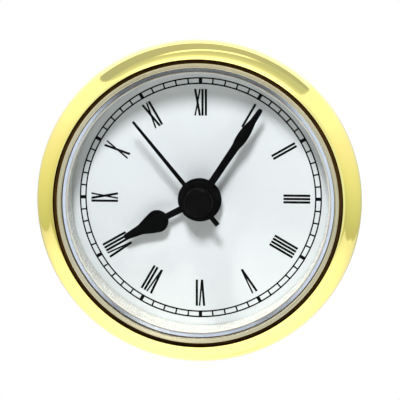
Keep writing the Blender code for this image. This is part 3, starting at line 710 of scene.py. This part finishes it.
def stroke(foot, head, width):
    """One straight printed stroke, from its foot to its head across the numeral, with square ends."""
    half = width / 2
    return [
        (foot - half, NUMERAL_FOOT), (foot + half, NUMERAL_FOOT),
        (head + half, NUMERAL_HEAD), (head - half, NUMERAL_HEAD),
    ]


def numeral_strokes(text):
    """The strokes of a Roman numeral, centred across."""
    made, cursor, after_letter = [], 0.0, False
    for letter in text:
        if letter == "I":
            cursor += 0.0 if not made else (AFTER_LETTER if after_letter else STROKE_PITCH)
            made.append((cursor, cursor, THICK))
            after_letter = False
        elif letter == "V":
            cursor += 0.0 if not made else BEFORE_V
            made.append((cursor + 0.47, cursor, THICK))
            made.append((cursor + 0.53, cursor + 1.0, THIN))
            cursor += LETTER_WIDTH
            after_letter = True
        else:
            cursor += 0.0 if not made else BEFORE_X
            made.append((cursor + LETTER_WIDTH, cursor, THICK))
            made.append((cursor, cursor + LETTER_WIDTH, THIN))
            cursor += LETTER_WIDTH
            after_letter = True
    left = min(min(foot, head) - width / 2 for foot, head, width in made)
    right = max(max(foot, head) + width / 2 for foot, head, width in made)
    centre = (left + right) / 2
    return [(foot - centre, head - centre, width) for foot, head, width in made]


def build_dial():
    """The painted dial with its printed minute track and numerals."""
    edge, hole = radius("dial_plate"), 2.6
    dial_front, dial_back = front("dial_plate"), back("dial_plate")
    loop = eased([(hole, dial_front), (edge, dial_front), (edge, dial_back), (hole, dial_back)], 0.06)
    lathe("dial", loop, DIAL, "root", ["dial_plate"])

    def printed(*loops):
        """A layer of ink, standing a little proud of the dial."""
        return plate_mesh("ink", loops, dial_front - 0.035, dial_front + 0.02, 0.01, 0)

    parts = []
    for line in (TRACK_OUTER, TRACK_INNER):
        parts.append(printed(circle(line + TRACK_LINE / 2, 360), circle(line - TRACK_LINE / 2, 360)))
    for minute in range(60):
        half = (HOUR_MARK if minute % 5 == 0 else MINUTE_MARK) / 2
        mark = [(-half, TRACK_INNER), (half, TRACK_INNER), (half, TRACK_OUTER), (-half, TRACK_OUTER)]
        parts.append(printed(turned_by(mark, math.radians(6 * minute))))
    track = join_meshes("minute_track", parts)
    add_piece("minute_track", track, INK, "root", ["dial_plate"])

    parts = []
    for hour, text in enumerate(NUMERALS):
        for foot, head, width in numeral_strokes(text):
            parts.append(printed(turned_by(stroke(foot, head, width), math.radians(30 * hour))))
    add_piece("numerals", join_meshes("numerals", parts), INK, "root", ["dial_plate"])


# ---------------------------------------------------------------- hands

def hand_loop(eye, side, clockwise, tail=()):
    """A hand's outline: half widths along its length, mirrored, and closed round its eye."""
    along = [(half, distance) for distance, half in side]
    loop = [(-across, distance) for across, distance in along] + list(reversed(along))
    start = math.asin(min(side[0][1] / eye, 1.0))
    if tail:
        stop = math.asin(tail[0][1] / eye)
        sweep = [start + (math.pi - stop - start) * i / 20 for i in range(1, 20)]
        loop += [(eye * math.sin(a), eye * math.cos(a)) for a in sweep]
        loop += [(half, -distance) for distance, half in tail]
        loop += [(-half, -distance) for distance, half in reversed(tail)]
        loop += [(-eye * math.sin(a), eye * math.cos(a)) for a in reversed(sweep)]
    else:
        sweep = [start + (2 * math.pi - 2 * start) * i / 60 for i in range(1, 60)]
        loop += [(eye * math.sin(a), eye * math.cos(a)) for a in sweep]
    return turned_by(loop, clockwise)


def add_hand(name, node, body, loop, bore, collar, thickness, edge):
    """A flat pressed hand with its collar behind."""
    hand_front, hand_back = front(node), back(node)
    blade = plate_mesh("blade", [loop, circle(bore, 48)], hand_front, hand_front + thickness, edge)
    start = hand_front + thickness - 0.02
    ring = eased([(bore, start), (collar, start), (collar, hand_back), (bore, hand_back)], 0.05, 2)
    tube = turned_mesh("tube", [(ring, 48, None)])
    add_piece(name, join_meshes(name, [blade, tube]), HAND, body, [node])


def build_hands():
    """The hour, minute and second hands, and the cap over them."""
    bulb = [(8.0, 0.70), (8.3, 1.30), (9.1, 2.10), (10.4, 2.47), (12.4, 1.93), (14.4, 1.15)]
    side = [(4.6, 0.74), (7.7, 0.70)] + curve_through(bulb, 8)
    side += curve_through([(14.4, 1.15), (17.2, 0.78), (18.2, 0.62), (18.4, 0.35)], 4)[1:]
    loop = hand_loop(4.75, side, pointing("hour_hand"))
    add_hand("hour_pointer", "hour_hand", "hour_set", loop, 1.56, 2.6, 0.3, 0.07)

    waist = [(4.0, 0.78), (13.4, 0.86), (15.2, 1.10), (17.0, 1.20), (19.0, 1.03), (20.8, 0.68)]
    side = curve_through(waist, 8)
    side += curve_through([(20.8, 0.68), (23.4, 0.54), (23.9, 0.38), (24.0, 0.16)], 4)[1:]
    loop = hand_loop(4.15, side, pointing("minute_hand"))
    add_hand("minute_pointer", "minute_hand", "minute_set", loop, 0.98, 1.9, 0.3, 0.07)

    tail = [(2.3, 0.53), (6.5, 0.53), (6.55, 0.48)]
    loop = hand_loop(2.4, [(2.3, 0.50), (22.3, 0.28)], pointing("second_hand"), tail)
    add_hand("sweep_pointer", "second_hand", "seconds_set", loop, 0.46, 1.0, 0.2, 0.04)

    cap_front, cap_back, edge = front("second_cap"), back("second_cap"), radius("second_cap")
    fillet, rim, bore, floor = 0.42, 0.05, 0.46, cap_front + 0.8
    loop = [(0.0, cap_front)]
    loop += ellipse_arc((edge - fillet, cap_front + fillet), (fillet, -fillet), 90, 0, 8)
    loop += [(edge, cap_back - rim), (edge - rim, cap_back)]
    loop += [(bore, cap_back), (bore, floor), (0.0, floor)]
    lathe("centre_cap", loop, CAP, "seconds_set", ["second_cap"], 96)


# ---------------------------------------------------------------- case, band and back

def screw_mesh(node, thread_radius):
    """A domed screw with a turned thread; its slot is cut afterwards in build_back."""
    x, z = middle(node)
    head, head_back, tip = radius(node), back(node), front(node)
    head_front, fillet = head_back - 0.7, 0.25
    loop = [(0.0, head_back), (head * 0.6, head_back - 0.03), (head - fillet, head_back - 0.12)]
    loop += ellipse_arc((head - fillet, head_back - 0.37), (fillet, fillet), 80, 0, 4)
    loop += [(head, head_front), (thread_radius, head_front)]
    pitch, depth, y = 0.5, 0.14, head_front - 0.2
    while y > tip + 0.6:
        loop += [(thread_radius, y), (thread_radius - depth, y - pitch / 2)]
        y -= pitch
    loop += [(thread_radius - 0.2, tip + 0.3), (0.0, tip)]
    return turned_mesh(node, [(loop, 48, None)], (x, z))


def cut_box(mesh, centre, size, turn=0.0):
    """The mesh less a box, both in millimetres."""
    body = bpy.data.objects.new("cut_body", mesh)
    bm = bmesh.new()
    bmesh.ops.create_cube(bm, size=1.0)
    bmesh.ops.scale(bm, vec=size, verts=bm.verts)
    bmesh.ops.rotate(bm, cent=(0, 0, 0), matrix=Matrix.Rotation(turn, 3, "Y"), verts=bm.verts)
    bmesh.ops.translate(bm, vec=centre, verts=bm.verts)
    tool_mesh = plain_mesh("cut_tool", bm)
    tool = bpy.data.objects.new("cut_tool", tool_mesh)
    for thing in (body, tool):
        bpy.context.scene.collection.objects.link(thing)
    modifier = body.modifiers.new("cut", "BOOLEAN")
    modifier.operation = "DIFFERENCE"
    modifier.solver = "EXACT"
    modifier.object = tool
    bpy.context.view_layer.update()
    made = bpy.data.meshes.new_from_object(body.evaluated_get(bpy.context.evaluated_depsgraph_get()))
    for thing in (body, tool):
        bpy.data.objects.remove(thing)
    bpy.data.meshes.remove(tool_mesh)
    return made


def build_case():
    """The cup, the ribbed band, and the back with its cover, knob and screws."""
    flange, seat = radius("case_cup"), 0.0
    cup_front, cup_back = front("case_cup"), back("case_cup")
    bore, step, tail, tail_bore = 29.4, 29.95, 28.5, 27.8
    ledge, ledge_back, ledge_bore = 4.6, 5.2, 26.2
    loop = eased([
        (bore, cup_front), (flange, cup_front), (flange, seat), (step, seat), (step, 5.6), (tail, 6.2),
        (tail, cup_back), (tail_bore, cup_back), (tail_bore, ledge_back), (ledge_bore, ledge_back),
        (ledge_bore, ledge), (bore, ledge),
    ], 0.12, 3)
    lathe("cup", loop, CUP, "root", ["case_cup"])

    band_front, band_back = front("grip_band"), back("grip_band")
    inner, crest = 28.7, radius("grip_band")
    ribs = 3
    pitch = (band_back - band_front) / ribs
    valley = crest - 1.0
    shore = valley - 0.05
    loop = [(inner, band_back), (inner, band_front), (shore, band_front)]
    for rib in range(ribs):
        centre = band_front + (rib + 0.5) * pitch
        for k in range(13):
            t = -1 + k / 6
            height = math.cos(t * math.pi / 2) ** 0.8
            loop.append((valley + (crest - valley) * height, centre + t * pitch * 0.46))
    loop.append((shore, band_back))
    lathe("ribbed_band", loop, RUBBER, "root", ["grip_band"])

    build_back()


def well_mesh(centre, inner, outer, y_front, y_back):
    """The wall round the cell, open towards the contacts."""
    well = bmesh.new()
    gap, towards, count = math.radians(40), math.radians(125), 64
    start = towards + gap / 2
    sweep = [start + (2 * math.pi - gap) * i / count for i in range(count + 1)]
    rings = []
    for r, y in ((inner, y_front), (outer, y_front), (outer, y_back), (inner, y_back)):
        places = [(centre[0] + r * math.cos(a), y, centre[1] + r * math.sin(a)) for a in sweep]
        rings.append([well.verts.new(place) for place in places])
    for a, b in zip(rings, rings[1:] + rings[:1]):
        for i in range(count):
            well.faces.new((a[i], b[i], b[i + 1], a[i + 1]))
    well.faces.new([ring[0] for ring in rings])
    well.faces.new([ring[-1] for ring in reversed(rings)])
    bmesh.ops.recalc_face_normals(well, faces=well.faces)
    return plain_mesh("well", well)


def build_back():
    """The back in three layers with the cell's well, its cover, the screws and the knob."""
    battery, setting = joint_place("battery_cover_turn"), joint_place("setting_knob_turn")
    screws = [middle(f"back_screw_{i}") for i in (1, 2, 3)]
    back_face, inner_front, recess_floor = back("case_back"), 15.2, 16.0
    flange_front = back_face - 1.0
    plug, rim = circle(27.4, 192), circle(radius("case_back"), RING)
    shaft, knob_recess = circle(0.8, 32, setting), circle(4.6, 64, setting)
    cell, cover_seat = circle(6.05, 64, battery), circle(7.15, 96, battery)
    screw_holes = [circle(1.0, 32, place) for place in screws]
    head_holes = [circle(1.95, 48, place) for place in screws]
    parts = [
        plate_mesh("lower", [plug, cell, shaft] + screw_holes, inner_front, recess_floor, 0.02, 1),
        plate_mesh("middle", [plug, cell, knob_recess] + screw_holes, recess_floor, flange_front, 0.02, 1),
        plate_mesh("upper", [rim, cover_seat, knob_recess] + head_holes, flange_front, back_face, 0.12, 3),
        well_mesh(battery, 6.15, 6.9, 11.6, inner_front),
    ]
    add_piece("back_shell", join_meshes("back_shell", parts), BACK, "root", ["case_back"])

    cover_front, cover_back = front("battery_cover"), back("battery_cover")
    edge, fillet, groove = radius("battery_cover"), 0.12, cover_back - 0.1
    loop = [(0.0, cover_front), (edge - 0.08, cover_front), (edge, cover_front + 0.08)]
    loop += ellipse_arc((edge - fillet, cover_back - fillet), (fillet, fillet), 0, 90, 4)
    loop += [(edge - 0.9, cover_back), (edge - 1.0, groove), (edge - 1.25, groove)]
    loop += [(edge - 1.35, cover_back), (0.0, cover_back)]
    cover = turned_mesh("cover", [(loop, 96, None)], battery)
    cover = cut_box(cover, (battery[0], cover_back, battery[1]), (8.0, 0.6, 1.4))
    cover = join_meshes("coin_cover", [cover])
    add_piece("coin_cover", cover, COVER, "battery_door", ["battery_cover"])

    slot_size = (2.6, 0.5, 0.42)
    for i, (x, z) in enumerate(screws, 1):
        node, name = f"back_screw_{i}", f"case_screw_{i}"
        mesh = cut_box(screw_mesh(node, 0.75), (x, back(node), z), slot_size, math.radians(25 * i))
        add_piece(name, join_meshes(name, [mesh]), SCREW, "root", [node])

    build_knob(setting)


def build_knob(setting):
    """The fluted setting knob with its shaft, pivot and pinion."""
    node = "setting_knob"
    knob_back, knob_front = back(node), 16.3
    edge = radius(node)
    lobes, flute_depth = 18, 0.32

    def flute(r, angle):
        """The knob's grip: round grooves along its rim."""
        if r < edge - 0.6:
            return 0.0
        return -flute_depth * (0.5 - 0.5 * math.cos(lobes * angle)) ** 0.7

    fillet, dish = 0.25, knob_back - 0.25
    knob = [(0.0, knob_front), (edge - 0.15, knob_front), (edge, knob_front + 0.15)]
    knob += ellipse_arc((edge - fillet, knob_back - fillet), (fillet, fillet), 0, 90, 5)
    knob += [(edge - 0.7, knob_back), (edge - 0.95, dish), (1.2, dish)]
    knob += [(1.0, knob_back - 0.1), (0.0, knob_back - 0.1)]
    pinion_front, pinion_back, overlap = 7.5, 8.3, 0.1
    shaft_radius, pivot_radius, foot = 0.6, 0.32, front(node)
    start, stop = pinion_back - overlap, knob_front + overlap
    shaft = [(0.0, start), (shaft_radius, start), (shaft_radius, stop), (0.0, stop)]
    stop = pinion_front + overlap
    pivot = [(0.0, foot), (pivot_radius - 0.08, foot), (pivot_radius, foot + 0.08)]
    pivot += [(pivot_radius, stop), (0.0, stop)]
    mesh = turned_mesh("knob", [(knob, lobes * 12, flute), (shaft, 32, None), (pivot, 24, None)], setting)
    outline = outline_at(node, pinion_front, setting, shaft_radius)
    teeth = plate_mesh("teeth", [outline], pinion_front, pinion_back, 0.03, 1)
    knob_mesh = join_meshes("set_knob", [mesh, teeth])
    add_piece("set_knob", knob_mesh, KNOB, "setting_set", [node])


# ---------------------------------------------------------------- what stays as the CAD has it

KEPT = {
    "front_plate": MILKY, "train_bridge": MILKY, "coil_bobbin": MILKY,
    "minute_pipe": BRASS, "contact_negative": BRASS, "contact_positive": BRASS,
    "motion_wheel": WHEEL, "hour_wheel": WHEEL, "seconds_wheel": WHEEL, "third_wheel": WHEEL,
    "centre_wheel": WHEEL, "intermediate_wheel": WHEEL, "rotor_pinion": WHEEL,
    "rotor_magnet": MAGNET, "stator_plate": LAMINATED, "coil_core": LAMINATED, "coil_winding": WINDING,
    "bridge_screw_1": SCREW, "bridge_screw_2": SCREW, "bridge_screw_3": SCREW,
    "coil_screw_1": SCREW, "coil_screw_2": SCREW,
    "circuit_board": BOARD, "quartz_can": CELL, "chip_cover": EPOXY, "battery_cell": CELL,
}


def finish_kept_nodes():
    """Give each CAD node that stays its material."""
    for name, finish in KEPT.items():
        slots = frame["nodes"][name].data.materials
        slots.clear()
        slots.append(finish)


# ---------------------------------------------------------------- studio

def build_world():
    """A light tent: bright side panels, a dim ceiling with one bright edge, a dark doorway in front."""
    world = bpy.data.worlds.new("tent")
    bpy.context.scene.world = world
    world.use_nodes = True
    nodes = Nodes(world.node_tree)
    output = nodes.add("ShaderNodeOutputWorld")
    shade = nodes.add("ShaderNodeBackground")
    nodes.put(output.inputs["Surface"], shade.outputs[0])
    coords = nodes.add("ShaderNodeTexCoord")
    split = nodes.add("ShaderNodeSeparateXYZ")
    nodes.put(split.inputs[0], coords.outputs["Generated"])
    x, y, z = split.outputs
    degrees = math.degrees(1)
    side = nodes.math("MULTIPLY", nodes.math("ARCTAN2", x, z), degrees)
    away = nodes.math("MULTIPLY", nodes.math("ARCCOSINE", nodes.math("MULTIPLY", y, -1.0)), degrees)
    turn = nodes.math("ABSOLUTE", side)

    along = nodes.math("DIVIDE", away, 180.0)
    ceiling = nodes.ramp(
        along,
        (0.00, (1.9, 1.9, 1.9)), (0.14, (1.6, 1.6, 1.6)), (0.19, (0.98, 1.00, 0.96)),
        (0.235, (0.78, 0.80, 0.76)), (0.30, (0.66, 0.69, 0.66)), (0.36, (0.62, 0.66, 0.64)),
    )
    dim_start = nodes.math("MULTIPLY_ADD", side, 0.36, 72.0)
    dim = nodes.math("GREATER_THAN", away, dim_start)
    across = nodes.math("DIVIDE", turn, 60.0)
    dark = nodes.ramp(across, (0.0, (0.60, 0.61, 0.66)), (1.0, (0.48, 0.50, 0.53)))
    ceiling = nodes.mix(dim, ceiling, dark)
    strip_from = nodes.math("SUBTRACT", dim_start, 9.0)
    not_dim = nodes.math("SUBTRACT", 1.0, dim)
    strip = nodes.math("MULTIPLY", nodes.math("GREATER_THAN", away, strip_from), not_dim)
    strip = nodes.math("MULTIPLY", strip, nodes.math("SUBTRACT", 1.0, nodes.step(turn, 12.0, 26.0)))
    ceiling = nodes.mix(strip, ceiling, (1.7, 1.7, 1.7, 1.0))
    white_behind = nodes.step(away, 112.0, 118.0)
    ceiling = nodes.mix(white_behind, ceiling, (1.6, 1.6, 1.65, 1.0))

    panel = nodes.ramp(
        nodes.math("DIVIDE", turn, 180.0),
        (0.25, (1.22, 1.22, 1.22)), (0.36, (1.20, 1.20, 1.20)), (0.42, (1.05, 1.02, 0.98)),
        (0.50, (0.89, 0.88, 0.68)), (0.58, (0.68, 0.70, 0.50)), (0.62, (0.60, 0.60, 0.44)),
    )
    room = nodes.mix(nodes.math("GREATER_THAN", turn, 47.0), ceiling, panel)
    facing = nodes.math("SUBTRACT", 1.0, nodes.step(away, 24.0, 30.0))
    facing = nodes.math("MULTIPLY", facing, nodes.step(turn, 47.0, 60.0))
    room = nodes.mix(facing, room, (0.90, 0.96, 1.06, 1.0))
    below = nodes.step(nodes.math("MULTIPLY", z, -1.0), 0.36, 0.40)
    room = nodes.mix(below, room, (1.10, 1.16, 1.05, 1.0))
    off_middle = nodes.math("ABSOLUTE", nodes.math("ADD", x, 0.07))
    doorway = nodes.math("SUBTRACT", 1.0, nodes.step(off_middle, 0.10, 0.14))
    doorway = nodes.math("MULTIPLY", doorway, nodes.math("SUBTRACT", 1.0, nodes.step(z, -0.02, 0.03)))
    doorway = nodes.math("MULTIPLY", doorway, nodes.step(z, -0.48, -0.42))
    doorway = nodes.math("MULTIPLY", doorway, nodes.math("LESS_THAN", y, 0.0))
    room = nodes.mix(doorway, room, (0.12, 0.125, 0.12, 1.0))

    path = nodes.add("ShaderNodeLightPath")
    seen = nodes.mix(path.outputs["Is Camera Ray"], room, (1.0, 1.0, 1.0, 1.0))
    nodes.put(shade.inputs["Color"], seen)
    strength = nodes.math("SUBTRACT", 1.0, nodes.math("MULTIPLY", path.outputs["Is Diffuse Ray"], 0.98))
    nodes.put(shade.inputs["Strength"], strength)


def area_light(name, place, target, size, power, colour=(1.0, 1.0, 1.0)):
    """A round soft light that isn't seen in reflections."""
    data = bpy.data.lights.new(name, "AREA")
    data.shape = "DISK"
    data.size = size
    data.energy = power
    data.color = colour
    light = bpy.data.objects.new(name, data)
    light.location = place
    light.rotation_euler = (Vector(target) - Vector(place)).to_track_quat("-Z", "Y").to_euler()
    light.visible_glossy = False
    bpy.context.scene.collection.objects.link(light)


def build_stage():
    """The pale table, lights and the camera."""
    bm = bmesh.new()
    table_height = -0.25
    corners = [(-0.75, -0.75), (0.59, -0.75), (0.59, 0.65), (-0.75, 0.65)]
    bm.faces.new([bm.verts.new((x, y, table_height)) for x, y in corners])
    table = bpy.data.objects.new("table", plain_mesh("table", bm))
    bpy.context.scene.collection.objects.link(table)
    table.data.materials.append(principled(
        "table_paper",
        two_tones((0.86, 0.86, 0.86), (0.90, 0.90, 0.90), 8),
        wandering(0.75, 0.85, 30),
        Emission_Color=(1.0, 1.0, 1.0, 1.0),
        Emission_Strength=0.45,
    ))

    area_light("key", (-0.03, -0.53, 0.485), (0.0, 0.0, 0.0), 0.17, 5.3)
    area_light("rake", (-0.13, -0.146, 0.67), (0.0, 0.0, 0.0), 0.12, 6.0, (1.0, 0.96, 0.88))

    camera_data = bpy.data.cameras.new("camera")
    camera = bpy.data.objects.new("camera", camera_data)
    bpy.context.scene.collection.objects.link(camera)
    azimuth, elevation, distance = math.radians(4.2), math.radians(8.7), 0.55
    target = Vector((0.00023, -0.0009, 0.00027))
    away = Vector((
        math.sin(azimuth) * math.cos(elevation),
        -math.cos(azimuth) * math.cos(elevation),
        math.sin(elevation),
    ))
    camera.location = target + away * distance
    camera.rotation_euler = (-away).to_track_quat("-Z", "Y").to_euler()
    sensor, view_width = 36.0, 0.0861
    camera_data.sensor_width = sensor
    camera_data.lens = sensor * distance / view_width
    camera_data.clip_start = 0.01
    bpy.context.scene.camera = camera
    bpy.context.scene.view_settings.view_transform = "Standard"


build_rings()
build_dial()
build_hands()
build_case()
finish_kept_nodes()
build_world()
build_stage()
